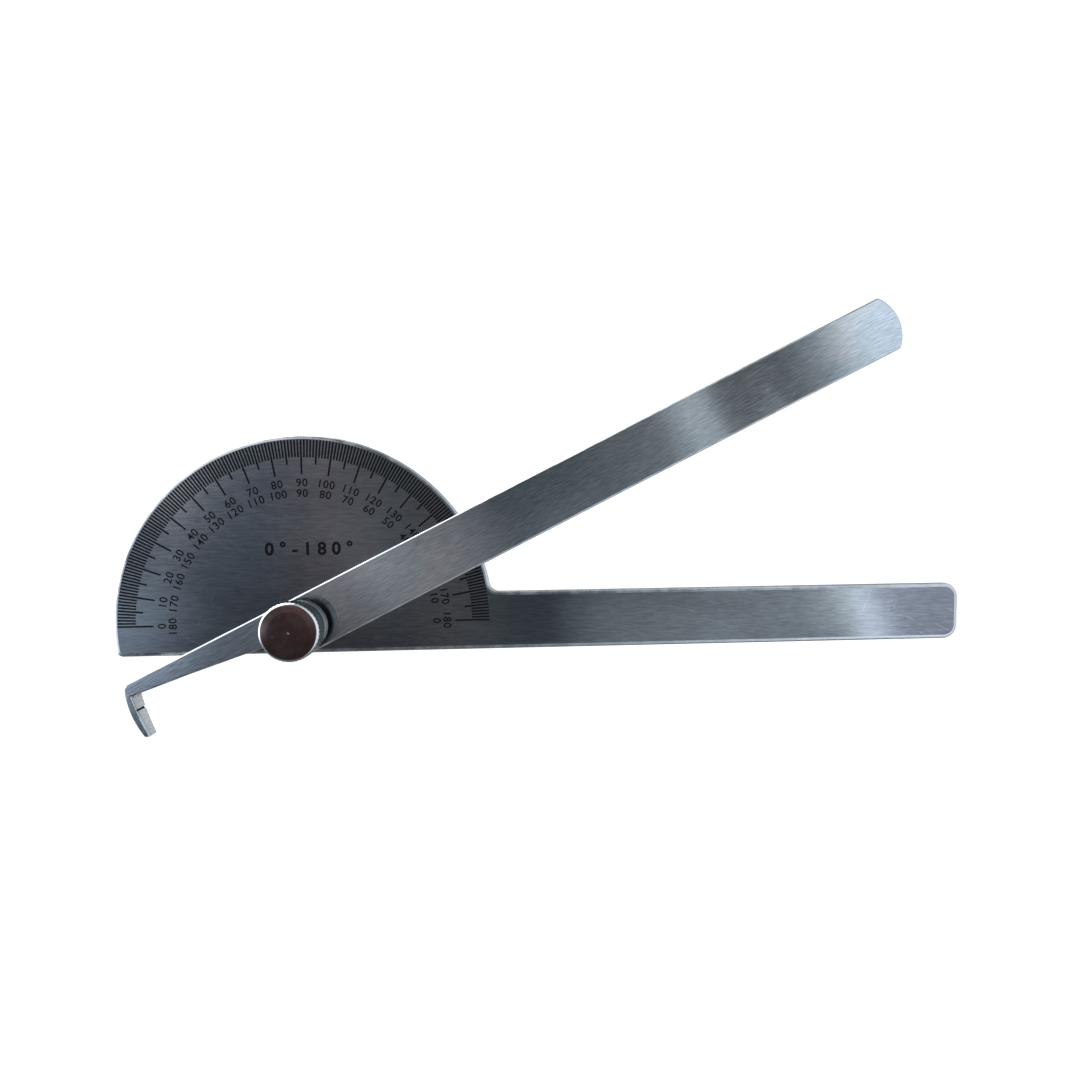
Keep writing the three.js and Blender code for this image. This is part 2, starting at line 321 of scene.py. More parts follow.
def arm_outlines():
    """The arm in plan, anticlockwise, as three runs: round end, lip, and tail with the boss."""
    end_angle = math.asin(ARM_HALF_WIDTH / ARM_END_RADIUS)
    round_end = arc((ARM_END - ARM_END_RADIUS, 0), ARM_END_RADIUS, -end_angle, end_angle)
    corner = Vector((LIP_OUTER_START.x + LIP_CORNER_CUT, ARM_HALF_WIDTH))
    outer = bowed(LIP_OUTER_START, LIP_OUTER_END, LIP_OUTER_SAG)[1:]
    inner = bowed(TAIL_TIP, LIP_INNER_START, LIP_INNER_SAG)[::-1]
    lip = [corner] + outer + inner
    shoulder = math.atan2(TAIL_SHOULDER.y, TAIL_SHOULDER.x)
    boss = arc((0, 0), ARM_HALF_WIDTH, shoulder, -math.pi / 2)
    return round_end, lip, [TAIL_KNEE] + boss


# ---------------------------------------------------------------- meshes

def shade(mesh, smooth_angle):
    """Smooth shading up to an angle, with level faces flat. The angle comes first, as it resets faces."""
    mesh.set_sharp_from_angle(angle=smooth_angle)
    for polygon in mesh.polygons:
        polygon.use_smooth = abs(polygon.normal.z) < LEVEL_NORMAL


def new_piece(name, bm, materials, smooth_angle=SMOOTH_ANGLE):
    """A finished bmesh as a named object, smooth except on level faces and across its sharp edges."""
    mesh = bpy.data.meshes.new(name)
    bmesh.ops.recalc_face_normals(bm, faces=bm.faces)
    bm.to_mesh(mesh)
    bm.free()
    shade(mesh, smooth_angle)
    for material in materials:
        mesh.materials.append(material)
    piece = bpy.data.objects.new(name, mesh)
    bpy.context.scene.collection.objects.link(piece)
    return piece


def prism(bm, points, low, high, material=0):
    """A closed prism on an anticlockwise outline."""
    bottom = [bm.verts.new((p.x, p.y, low)) for p in points]
    top = [bm.verts.new((p.x, p.y, high)) for p in points]
    faces = [bm.faces.new(top), bm.faces.new(bottom[::-1])]
    for i, here in enumerate(bottom):
        after = (i + 1) % len(points)
        faces.append(bm.faces.new((here, bottom[after], top[after], top[i])))
    for face in faces:
        face.material_index = material
    return faces


def lathe(bm, profile, steps=ROUND_STEPS, radius_at=None, material_at=None):
    """A closed solid turned about the Z axis from (radius, height) pairs that start and end on the axis,
    or that close on themselves."""
    rings = []
    for row, (radius, height) in enumerate(profile):
        if radius <= 0:
            rings.append([bm.verts.new((0, 0, height))])
            continue
        ring = []
        for i in range(steps):
            angle = 2 * math.pi * i / steps
            r = radius_at(row, radius, height, angle) if radius_at else radius
            ring.append(bm.verts.new((r * math.cos(angle), r * math.sin(angle), height)))
        rings.append(ring)
    closed = len(rings[0]) > 1
    count = len(rings) if closed else len(rings) - 1
    for row in range(count):
        a = rings[row]
        b = rings[(row + 1) % len(rings)]
        for i in range(steps):
            j = (i + 1) % steps
            loop = [a[i % len(a)], a[j % len(a)], b[j % len(b)], b[i % len(b)]]
            corners = list(dict.fromkeys(loop))
            face = bm.faces.new(corners)
            face.material_index = material_at(row) if material_at else 0


def bevel_sharp(bm, width, material):
    """Breaks the edges that turn sharply."""
    bm.normal_update()
    edges = [e for e in bm.edges if len(e.link_faces) == 2 and e.calc_face_angle() > STEEP_EDGE]
    bmesh.ops.bevel(
        bm, geom=edges, offset=width, offset_type="OFFSET", segments=BEVEL_STEPS, profile=0.5,
        affect="EDGES", clamp_overlap=True, material=material,
    )


def cut(piece, cutter):
    """Takes the cutter's shape out of the piece. Cut faces keep the number of the cutter's material."""
    modifier = piece.modifiers.new("cut", "BOOLEAN")
    modifier.operation = "DIFFERENCE"
    modifier.solver = "MANIFOLD"
    modifier.object = cutter
    depsgraph = bpy.context.evaluated_depsgraph_get()
    result = bpy.data.meshes.new_from_object(piece.evaluated_get(depsgraph), depsgraph=depsgraph)
    piece.modifiers.clear()
    old = piece.data
    piece.data = result
    result.name = piece.name
    bpy.data.meshes.remove(old)
    cutter_mesh = cutter.data
    bpy.data.objects.remove(cutter)
    bpy.data.meshes.remove(cutter_mesh)


def planar_uv(piece, angle):
    """Lays a UV map flat on the piece, with U across its grain, where brushing spreads a highlight."""
    turn = Matrix.Rotation(-angle, 3, "Z")
    layer = piece.data.uv_layers.new(name="grain")
    coords = [turn @ v.co for v in piece.data.vertices]
    for loop in piece.data.loops:
        point = coords[loop.vertex_index]
        layer.data[loop.index].uv = (0.5 - point.y * UV_PER_METRE, 0.5 + point.x * UV_PER_METRE)


def glyph_flats(text, height, place, angle, weight=0.0, spacing=1.0):
    """A number or legend as flat polygons, centred on a place and turned by angle."""
    curve = bpy.data.curves.new("glyph", "FONT")
    curve.body = text
    curve.size = 1.0
    curve.offset = weight
    curve.space_character = spacing
    curve.resolution_u = GLYPH_STEPS
    source = bpy.data.objects.new("glyph", curve)
    bpy.context.scene.collection.objects.link(source)
    depsgraph = bpy.context.evaluated_depsgraph_get()
    mesh = bpy.data.meshes.new_from_object(source.evaluated_get(depsgraph), depsgraph=depsgraph)
    xs = [v.co.x for v in mesh.vertices]
    ys = [v.co.y for v in mesh.vertices]
    scale = height / (max(ys) - min(ys))
    middle = Vector(((max(xs) + min(xs)) / 2, (max(ys) + min(ys)) / 2))
    turn = Matrix.Rotation(angle, 2)
    points = [Vector(place) + turn @ ((v.co.xy - middle) * scale) for v in mesh.vertices]
    flats = [[points[i] for i in polygon.vertices] for polygon in mesh.polygons]
    flats = [flat for flat in flats if area(flat) > SMALLEST_FLAT]
    bpy.data.objects.remove(source)
    bpy.data.curves.remove(curve)
    bpy.data.meshes.remove(mesh)
    return flats


def area(points):
    """A polygon's area, positive where its points run anticlockwise."""
    return sum(a.x * b.y - b.x * a.y for a, b in zip(points, points[1:] + points[:1])) / 2


def inset(points, depth):
    """An anticlockwise outline moved inwards by depth."""
    moved = []
    for i, here in enumerate(points):
        before = (here - points[i - 1]).normalized()
        after = (points[(i + 1) % len(points)] - here).normalized()
        along = (before + after).normalized()
        moved.append(here + Vector((-along.y, along.x)) * depth / along.dot(after))
    return moved


def rounded_side(low, high, low_size, high_size):
    """A sheet's side as (inset, height) pairs from its underside up to its top. A size is the width and
    depth of an edge's rounding."""
    pairs = []
    width, depth = low_size
    for i in range(ROUNDING_STEPS + 1):
        angle = math.pi / 2 * i / ROUNDING_STEPS
        pairs.append((width * (1 - math.sin(angle)), low + depth * (1 - math.cos(angle))))
    width, depth = high_size
    for i in range(ROUNDING_STEPS + 1):
        angle = math.pi / 2 * i / ROUNDING_STEPS
        pairs.append((width * (1 - math.cos(angle)), high - depth * (1 - math.sin(angle))))
    return pairs


def stacked(bm, levels, material):
    """Joins outlines of equal length, given as (points, height) in order, and returns their rings."""
    rings = [[bm.verts.new((p.x, p.y, height)) for p in points] for points, height in levels]
    for lower, upper in zip(rings, rings[1:]):
        for i in range(len(lower)):
            j = (i + 1) % len(lower)
            bm.faces.new((lower[i], lower[j], upper[j], upper[i])).material_index = material
    return rings


def level_fill(bm, outer, hole, height, flats=(), depth=0.0):
    """Fills the level between a ring of vertices and a hole's ring, and sinks flat polygons into it."""
    rings = outer + hole
    points = [v.co.xy / MM for v in rings]
    faces = [list(range(len(outer))), list(range(len(outer), len(rings)))]
    for flat in flats:
        faces.append(list(range(len(points), len(points) + len(flat))))
        points += [p / MM for p in flat]
    places, _, triangles, sources, _, owners = delaunay_2d_cdt(points, [], faces, 0, SAME_PLACE)

    made = {}

    def corner(i, sunk):
        ring_places = [n for n in sources[i] if n < len(rings)]
        if ring_places:
            return rings[ring_places[0]]
        if (i, sunk) not in made:
            made[i, sunk] = bm.verts.new((places[i].x * MM, places[i].y * MM, height - depth * sunk))
        return made[i, sunk]

    sides = set()
    for triangle, owner in zip(triangles, owners):
        if not owner or 1 in owner:
            continue
        sunk = any(n > 1 for n in owner)
        face = bm.faces.new([corner(i, sunk) for i in triangle])
        face.material_index = FILL if sunk else FACE
        if sunk:
            sides.update(zip(triangle, triangle[1:] + triangle[:1]))
    for a, b in sorted(sides):
        if (b, a) not in sides:
            wall = bm.faces.new((corner(a, True), corner(b, True), corner(b, False), corner(a, False)))
            wall.material_index = FILL


# ---------------------------------------------------------------- materials

class Graph:
    """A short way to write the nodes of a material or of the world."""

    def __init__(self, owner):
        owner.use_nodes = True
        self.owner = owner
        self.tree = owner.node_tree
        self.shader = self.tree.nodes.get("Principled BSDF")

    def node(self, kind, inputs=None, **settings):
        made = self.tree.nodes.new(kind)
        for key, value in settings.items():
            setattr(made, key, value)
        for key, value in (inputs or {}).items():
            self.feed(made, key, value)
        return made

    def feed(self, node, key, value):
        if isinstance(value, bpy.types.NodeSocket):
            self.tree.links.new(value, node.inputs[key])
        else:
            node.inputs[key].default_value = value

    def math(self, operation, a, b=0.0, clamp=False):
        made = self.node("ShaderNodeMath", {0: a, 1: b}, operation=operation)
        made.use_clamp = clamp
        return made.outputs[0]

    def mix(self, factor, a, b, blend="MIX"):
        made = self.node("ShaderNodeMix", data_type="RGBA", blend_type=blend)
        self.feed(made, "Factor", factor)
        self.feed(made, 6, a)
        self.feed(made, 7, b)
        return made.outputs[2]

    def ramp(self, value, low, high, to_low=0.0, to_high=1.0):
        inputs = {"Value": value, "From Min": low, "From Max": high, "To Min": to_low, "To Max": to_high}
        return self.node("ShaderNodeMapRange", inputs, interpolation_type="SMOOTHSTEP").outputs[0]

    def place(self, scale, angle=0.0, shift=(0, 0, 0)):
        """Object coordinates in millimetres, turned to the grain and stretched."""
        coords = self.node("ShaderNodeTexCoord").outputs["Object"]
        turned = self.node("ShaderNodeMapping", {"Vector": coords, "Rotation": (0, 0, -angle)})
        per_mm = tuple(1000 * s for s in scale)
        stretch = {"Vector": turned.outputs[0], "Scale": per_mm, "Location": shift}
        return self.node("ShaderNodeMapping", stretch).outputs[0]

    def noise(self, vector, scale=1.0, detail=3.0, roughness=0.55, distortion=0.0):
        inputs = {"Vector": vector, "Scale": scale, "Detail": detail,
                  "Roughness": roughness, "Distortion": distortion}
        return self.node("ShaderNodeTexNoise", inputs).outputs[0]

    def surface(self, colour, roughness, height, bump, distance=0.02 * MM, **constants):
        """Feeds the shader, and returns the material."""
        self.feed(self.shader, "Base Color", colour)
        self.feed(self.shader, "Roughness", roughness)
        bumped = self.node("ShaderNodeBump", {"Height": height, "Strength": bump, "Distance": distance})
        self.feed(self.shader, "Normal", bumped.outputs[0])
        for key, value in constants.items():
            self.shader.inputs[key.replace("_", " ")].default_value = value
        return self.owner


def scratches(g, angle, seed):
    """A sparse mask of short, thin, tapered scratches at an angle to the grain."""
    stroke = g.noise(g.place((0.16, 6.0, 6.0), angle, (seed, 5, 0)), detail=1.0)
    region = g.noise(g.place((0.06, 0.06, 0.06), angle, (seed, 9, 0)), detail=1.0)
    return g.math("MULTIPLY", g.ramp(stroke, 0.70, 0.77), g.ramp(region, 0.52, 0.62))


def brushed_steel(name, dark, light, angle, rough, seed):
    """Sheet steel with short fine grain along one direction, cloudy patches and a few thin scratches."""
    g = Graph(bpy.data.materials.new(name))
    hair = g.noise(g.place((0.40, 5.5, 5.5), angle, (seed, 0, 0)), detail=4.0, roughness=0.65)
    streak = g.noise(g.place((0.14, 2.4, 2.4), angle, (0, seed, 0)), detail=4.0)
    cloud = g.noise(g.place((0.05, 0.09, 0.09), angle, (seed, seed, 0)), detail=2.0, distortion=0.4)
    tone = g.math("ADD", g.math("MULTIPLY", streak, 0.35), g.math("MULTIPLY", cloud, 0.65))
    base = g.mix(g.ramp(tone, 0.36, 0.64), dark, light)
    fine = g.ramp(hair, 0.25, 0.75, 0.74, 1.24)
    fine = g.node("ShaderNodeCombineColor", {0: fine, 1: fine, 2: fine}).outputs[0]
    base = g.mix(1.0, base, fine, "MULTIPLY")
    scratch = g.math("MAXIMUM", scratches(g, angle + 1.2, seed), scratches(g, angle - 0.5, seed + 4))
    base = g.mix(g.math("MULTIPLY", scratch, 0.35), base, rgb(0.85, 0.86, 0.88))
    roughness = g.math("ADD", g.math("MULTIPLY", hair, 0.06), g.math("MULTIPLY", cloud, 0.03))
    roughness = g.math("ADD", roughness, rough - 0.045)
    height = g.math("SUBTRACT", hair, g.math("MULTIPLY", scratch, 0.6))
    tangent = g.node("ShaderNodeTangent", direction_type="UV_MAP", uv_map="grain").outputs[0]
    g.feed(g.shader, "Tangent", tangent)
    return g.surface(base, roughness, height, bump=0.16, distance=0.010 * MM,
                     Metallic=1.0, Anisotropic=1.0)


def buffed_edge(name, dark, light):
    """The rounded edge of a sheet in lighter steel than its face: a painted highlight along the edge,
    strongest on the plate.
    """
    g = Graph(bpy.data.materials.new(name))
    wear = g.noise(g.place((0.35, 0.35, 0.35)), detail=2.0)
    base = g.mix(g.ramp(wear, 0.35, 0.7), dark, light)
    return g.surface(base, g.ramp(wear, 0.3, 0.7, 0.2, 0.34), wear, bump=0.1, Metallic=1.0)


def black_fill(name):
    """Black enamel wiped into an engraved line."""
    g = Graph(bpy.data.materials.new(name))
    grit = g.noise(g.place((6.0, 6.0, 6.0)), detail=4.0)
    base = g.mix(g.ramp(grit, 0.35, 0.75), rgb(0.004, 0.004, 0.005), rgb(0.02, 0.021, 0.024))
    return g.surface(base, g.ramp(grit, 0.3, 0.7, 0.6, 0.85), grit, bump=0.15, Metallic=0.0,
                     Specular_IOR_Level=0.12)


def turned_steel(name, dark, light, rough, rings_per_mm=9.0, wear=0.0):
    """Lathe-turned steel: fine rings about the pivot's axis, with smears and scratches from wear."""
    g = Graph(bpy.data.materials.new(name))
    coords = g.node("ShaderNodeTexCoord").outputs["Object"]
    parts = g.node("ShaderNodeSeparateXYZ", {0: coords})
    square = g.math("ADD", g.math("POWER", parts.outputs[0], 2.0), g.math("POWER", parts.outputs[1], 2.0))
    reach = g.math("MULTIPLY", g.math("SQRT", square), 1000 * rings_per_mm)
    level = g.math("MULTIPLY", parts.outputs[2], 1000 * rings_per_mm)
    along = g.math("ADD", reach, level)
    rings = g.node("ShaderNodeTexNoise", {"W": along, "Scale": 1.0, "Detail": 3.0},
                   noise_dimensions="1D").outputs[0]
    smear = g.noise(g.place((0.35, 0.35, 0.35), 0.0, (7, 2, 0)), detail=3.0)
    tone = g.math("ADD", g.math("MULTIPLY", rings, 0.5), g.math("MULTIPLY", smear, 0.5))
    base = g.mix(g.ramp(tone, 0.35, 0.65), dark, light)
    if wear:
        nick = g.ramp(g.noise(g.place((0.9, 3.4, 2.0), 1.2, (3, 1, 0)), detail=3.0), 0.66, 0.74)
        nick = g.math("MAXIMUM", nick, scratches(g, 1.3, 21))
        base = g.mix(g.math("MULTIPLY", nick, wear), base, rgb(0.72, 0.68, 0.66))
    roughness = g.math("ADD", g.math("MULTIPLY", smear, 0.14), rough - 0.07)
    return g.surface(base, roughness, rings, bump=0.12, distance=0.01 * MM, Metallic=1.0)


def nylon(name):
    """Dark moulded nylon, slightly mottled."""
    g = Graph(bpy.data.materials.new(name))
    mottle = g.noise(g.place((1.6, 1.6, 1.6)), detail=5.0)
    base = g.mix(g.ramp(mottle, 0.3, 0.7), rgb(0.018, 0.019, 0.022), rgb(0.045, 0.047, 0.052))
    return g.surface(base, g.ramp(mottle, 0.3, 0.7, 0.45, 0.62), mottle, bump=0.2, Metallic=0.0)


def floor_paper(name):
    """Smooth white paper, with a very faint tooth."""
    g = Graph(bpy.data.materials.new(name))
    tooth = g.noise(g.place((0.8, 0.8, 0.8)), detail=5.0)
    base = g.mix(g.ramp(tooth, 0.3, 0.7), rgb(0.90, 0.90, 0.90), rgb(0.93, 0.93, 0.93))
    return g.surface(base, 0.9, tooth, bump=0.03, Metallic=0.0,
                     Emission_Color=grey(1.0), Emission_Strength=0.85)


# ---------------------------------------------------------------- pieces

def scale_marks():
    """A line for every degree, longer at each 5 and longer again at each 10."""
    flats = []
    for degree in range(DEGREES + 1):
        step = 10 if degree % 10 == 0 else 5 if degree % 5 == 0 else 1
        half = MARK_WIDTHS[step] / 2
        inner = MARK_INNER_RADII[step]
        corners = [(inner, -half), (MARK_OUTER_RADIUS, -half), (MARK_OUTER_RADIUS, half), (inner, half)]
        flats.append(turned_by([Vector(c) for c in corners], math.radians(DEGREES - degree)))
    return flats


def scale_numbers():
    """Two rows of numbers at every 10 degrees, counting opposite ways, tops towards the rim."""
    flats = []
    for degree in range(0, DEGREES + 1, 10):
        angle = math.radians(DEGREES - degree)
        rows = ((OUTER_NUMBER_RADIUS, degree), (INNER_NUMBER_RADIUS, DEGREES - degree))
        for radius, value in rows:
            place = (radius * math.cos(angle), radius * math.sin(angle))
            flats += glyph_flats(str(value), NUMBER_HEIGHT, place, angle - math.pi / 2,
                                 weight=NUMBER_WEIGHT, spacing=NUMBER_SPACING)
    return flats


def make_plate(materials):
    """The engraved plate: rounded edges, a countersunk hole, and marks sunk into its top."""
    low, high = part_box("protractor_plate")
    low, high = Vector(low), Vector(high)
    outline = plate_outline(low, high)
    bm = bmesh.new()
    side = rounded_side(low.z, high.z, PLATE_LOW_ROUNDING, PLATE_TOP_ROUNDING)
    outer = stacked(bm, [(inset(outline, depth), z) for depth, z in side], EDGE)

    neck = STUD_RADIUS + COUNTERSINK_GAP
    mouth = STUD_HEAD_RADIUS + COUNTERSINK_GAP
    levels = ((mouth, low.z), (neck, low.z + COUNTERSINK_DEPTH), (neck, high.z))
    hole = stacked(bm, [(circle(radius), z) for radius, z in levels], EDGE)

    legend = glyph_flats(LEGEND, LEGEND_HEIGHT, LEGEND_CENTRE, 0.0,
                         weight=LEGEND_WEIGHT, spacing=LEGEND_SPACING)
    level_fill(bm, outer[-1], hole[-1], high.z, scale_marks() + scale_numbers() + legend, ENGRAVING_DEPTH)
    level_fill(bm, outer[0], hole[0], low.z)
    plate = new_piece("plate", bm, materials)
    planar_uv(plate, 0.0)
    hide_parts("protractor_plate")
    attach(plate, "plate_body")
    return plate


def arm_solid(top, middle, bottom):
    """The flat bar between top and middle, with the lip's wall going down to a leaning foot at bottom."""
    round_end, lip, tail = arm_outlines()
    plan = round_end + lip + tail
    first = len(round_end)
    last = first + len(lip) - 1

    bm = bmesh.new()
    upper = [bm.verts.new((p.x, p.y, top)) for p in plan]
    under = [bm.verts.new((p.x, p.y, middle)) for p in plan]
    foot = [bm.verts.new((p.x + LIP_LEAN + LIP_TWIST * p.y, p.y, bottom)) for p in lip]
    bm.faces.new(upper)
    count = len(plan)
    for i in range(count):
        j = (i + 1) % count
        bm.faces.new((under[i], under[j], upper[j], upper[i]))
    flat = under[:first + 1] + under[last:]
    bm.faces.new(flat[::-1])
    bm.faces.new(foot[::-1])
    for i in range(len(lip) - 1):
        bm.faces.new((foot[i], foot[i + 1], under[first + i + 1], under[first + i]))
    bm.faces.new((foot[-1], foot[0], under[first], under[last]))
    bmesh.ops.recalc_face_normals(bm, faces=bm.faces)
    bmesh.ops.dissolve_limit(bm, angle_limit=FLAT_ANGLE, verts=bm.verts, edges=bm.edges,
                             use_dissolve_boundaries=False)
    return bm


def hole_cutter(low, high, materials):
    """A round bar through the arm's hole, whose cut faces get the edges' material with its painted
    highlight.
    """
    profile = [(0, low - MM), (BORE_RADIUS, low - MM), (BORE_RADIUS, high + MM), (0, high + MM)]
    bm = bmesh.new()
    lathe(bm, profile, material_at=lambda row: EDGE)
    return new_piece("arm_hole", bm, materials)


def index_cutter(low, high, materials):
    """A thin bar that cuts the index line into the lip's inner face."""
    bm = bmesh.new()
    back = (TAIL_TIP.x + LIP_INNER_START.x) / 2 - LIP_INNER_SAG - INDEX_DEPTH
    front = back + 2 * MM
    half = INDEX_WIDTH / 2
    corners = [(back, -half), (front, -half), (front, half), (back, half)]
    prism(bm, turned_by([Vector(c) for c in corners], REST_ANGLE), low - MM, high - INDEX_BELOW_TOP, FILL)
    return new_piece("index_line", bm, materials)


def make_arm(materials):
    """The moving arm: one flat bar, tapered to its tail, with the lip bent down across the tail's end."""
    low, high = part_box("moving_arm")
    bottom, top = low[2], high[2]
    middle = top - ARM_THICKNESS
    bm = arm_solid(top, middle, bottom)
    bevel_sharp(bm, ARM_EDGE_ROUNDING, EDGE)
    bmesh.ops.rotate(bm, cent=(0, 0, 0), matrix=Matrix.Rotation(REST_ANGLE, 3, "Z"), verts=bm.verts)
    arm = new_piece("swing_arm", bm, materials)
    cut(arm, hole_cutter(middle, top, materials))
    cut(arm, index_cutter(bottom, top, materials))
    shade(arm.data, SMOOTH_ANGLE)
    planar_uv(arm, REST_ANGLE)
    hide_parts("moving_arm")
    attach(arm, "arm_body")
    return arm


def make_ring(name, node, body, material, radius, low, high, chamfer):
    """A plain washer with broken edges."""
    bm = bmesh.new()
    lathe(bm, [
        (BORE_RADIUS, low), (radius - chamfer, low), (radius, low + chamfer),
        (radius, high - chamfer), (radius - chamfer, high), (BORE_RADIUS, high),
    ])
    ring = new_piece(name, bm, [material])
    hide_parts(node)
    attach(ring, body)
    return ring


def make_stud(material):
    """The staked stud: a flush cone head under the plate, and a threaded shank that ends in the nut."""
    low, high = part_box("pivot_stud")
    break_width, break_height = STUD_HEAD_BREAK
    profile = [
        (0, low[2]), (STUD_HEAD_RADIUS - break_width, low[2]), (STUD_HEAD_RADIUS, low[2] + break_height),
        (STUD_RADIUS, low[2] + COUNTERSINK_DEPTH),
    ]
    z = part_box("moving_arm")[1][2]
    profile.append((STUD_RADIUS, z))
    while z + THREAD_PITCH < high[2] - THREAD_RUNOUT:
        profile.append((STUD_RADIUS - THREAD_DEPTH, z + THREAD_PITCH / 2))
        profile.append((STUD_RADIUS, z + THREAD_PITCH))
        z += THREAD_PITCH
    profile += [(STUD_RADIUS - STUD_TIP_CHAMFER, high[2]), (0, high[2])]
    bm = bmesh.new()
    lathe(bm, profile)
    stud = new_piece("stud", bm, [material])
    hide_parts("pivot_stud")
    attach(stud, "plate_body")
    return stud


def nut_runs(bottom, top, radius):
    """The nut's section as (radius, height) in four runs: under the knurl, the knurl, the rim, the top."""
    shoulder = top - NUT_HEAD_HEIGHT
    below = [
        (0, top - NUT_BORE_ROOF), (BORE_RADIUS, top - NUT_BORE_ROOF), (BORE_RADIUS, bottom),
        (NUT_COLLAR_RADIUS - NUT_COLLAR_CHAMFER, bottom),
        (NUT_COLLAR_RADIUS, bottom + NUT_COLLAR_CHAMFER),
        (NUT_COLLAR_RADIUS, shoulder), (radius - NUT_LOW_CHAMFER, shoulder),
    ]
    low = shoulder + NUT_LOW_CHAMFER
    high = top - NUT_CHAMFER
    band = [(radius, low + (high - low) * i / KNURL_ROWS) for i in range(KNURL_ROWS + 1)]
    rim = [(radius - inset_by * MM, top - depth * MM) for inset_by, depth in NUT_RIM]
    groove = radius - NUT_CHAMFER
    dome = [(groove - inset_by * MM, top - depth * MM) for inset_by, depth in NUT_DOME]
    centre = [(reach * MM, top - depth * MM) for reach, depth in NUT_CENTRE]
    return below, band, rim, dome + centre


def make_nut(nut_materials):
    """The thumb nut: smooth collar, diamond-knurled head, a rim in far lighter steel as a painted highlight,
    and a polished, domed top.
    """
    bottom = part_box("flat_washer")[1][2] + CONTACT_GAP
    radius, _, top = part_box("thumb_nut")[1]
    below, band, rim, cap = nut_runs(bottom, top, radius)
    first_band = len(below)
    last_band = first_band + len(band) - 1
    last_rim = last_band + len(rim)
    band_low = band[0][1]

    def knurled(row, r, z, angle):
        """Two crossing sets of grooves pressed into the band."""
        if not first_band <= row <= last_band:
            return r
        lead = 2 * math.pi * (z - band_low) / KNURL_PITCH
        right = abs(math.sin((KNURL_TURNS * angle + lead) / 2))
        left = abs(math.sin((KNURL_TURNS * angle - lead) / 2))
        return r - KNURL_DEPTH * (1 - min(right, left)) ** KNURL_SHARPNESS

    def finish_of(row):
        if row < last_band:
            return SIDE
        return RIM if row < last_rim else CAP

    bm = bmesh.new()
    lathe(bm, below + band + rim + cap, steps=KNURL_TURNS * KNURL_STEPS_PER_TURN,
          radius_at=knurled, material_at=finish_of)
    nut = new_piece("knurled_nut", bm, nut_materials, smooth_angle=KNURL_SMOOTH_ANGLE)
    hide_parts("thumb_nut")
    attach(nut, "nut_body")
    return nut


# ---------------------------------------------------------------- stage

def make_floor():
    """A plain pale floor, and a wall round it that hides the room from the camera and lights nothing."""
    paper = floor_paper("floor_paper")
    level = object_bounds()[0][2] - FLOOR_GAP
    bm = bmesh.new()
    bmesh.ops.create_grid(bm, x_segments=2, y_segments=2, size=FLOOR_HALF_SIZE)
    floor = new_piece("floor", bm, [paper])
    floor.location.z = level
    floor.visible_glossy = False

    bm = bmesh.new()
    bmesh.ops.create_cone(bm, cap_ends=False, segments=ROUND_STEPS,
                          radius1=WALL_RADIUS, radius2=WALL_RADIUS, depth=2 * WALL_HEIGHT)
    wall = new_piece("backdrop", bm, [paper])
    wall.location.z = level
    wall.visible_glossy = False
    wall.visible_diffuse = False
    wall.visible_shadow = False


def soft_light(name, place, target, size, power, colour):
    data = bpy.data.lights.new(name, "AREA")
    data.shape = "RECTANGLE"
    data.size, data.size_y = size
    data.energy = power
    data.color = colour
    light = bpy.data.objects.new(name, data)
    light.location = place
    light.rotation_euler = (Vector(target) - Vector(place)).to_track_quat("-Z", "Y").to_euler()
    bpy.context.scene.collection.objects.link(light)
    return light


def room_ramp(g, place, stops):
    """Colour by place, from (place, colour) stops with places between -1 and 1."""
    share = g.math("ADD", g.math("MULTIPLY", place, 0.5), 0.5)
    made = g.node("ShaderNodeValToRGB", {0: share})
    elements = made.color_ramp.elements
    elements.remove(elements[1])
    for number, (at, colour) in enumerate(stops):
        element = elements.new((at + 1) / 2) if number else elements[0]
        element.position = (at + 1) / 2
        element.color = rgb(*colour)
    return made.outputs[0]


def grey_stops(stops):
    """The same stops with each level as a grey."""
    return [(at, (level, level, level)) for at, level in stops]


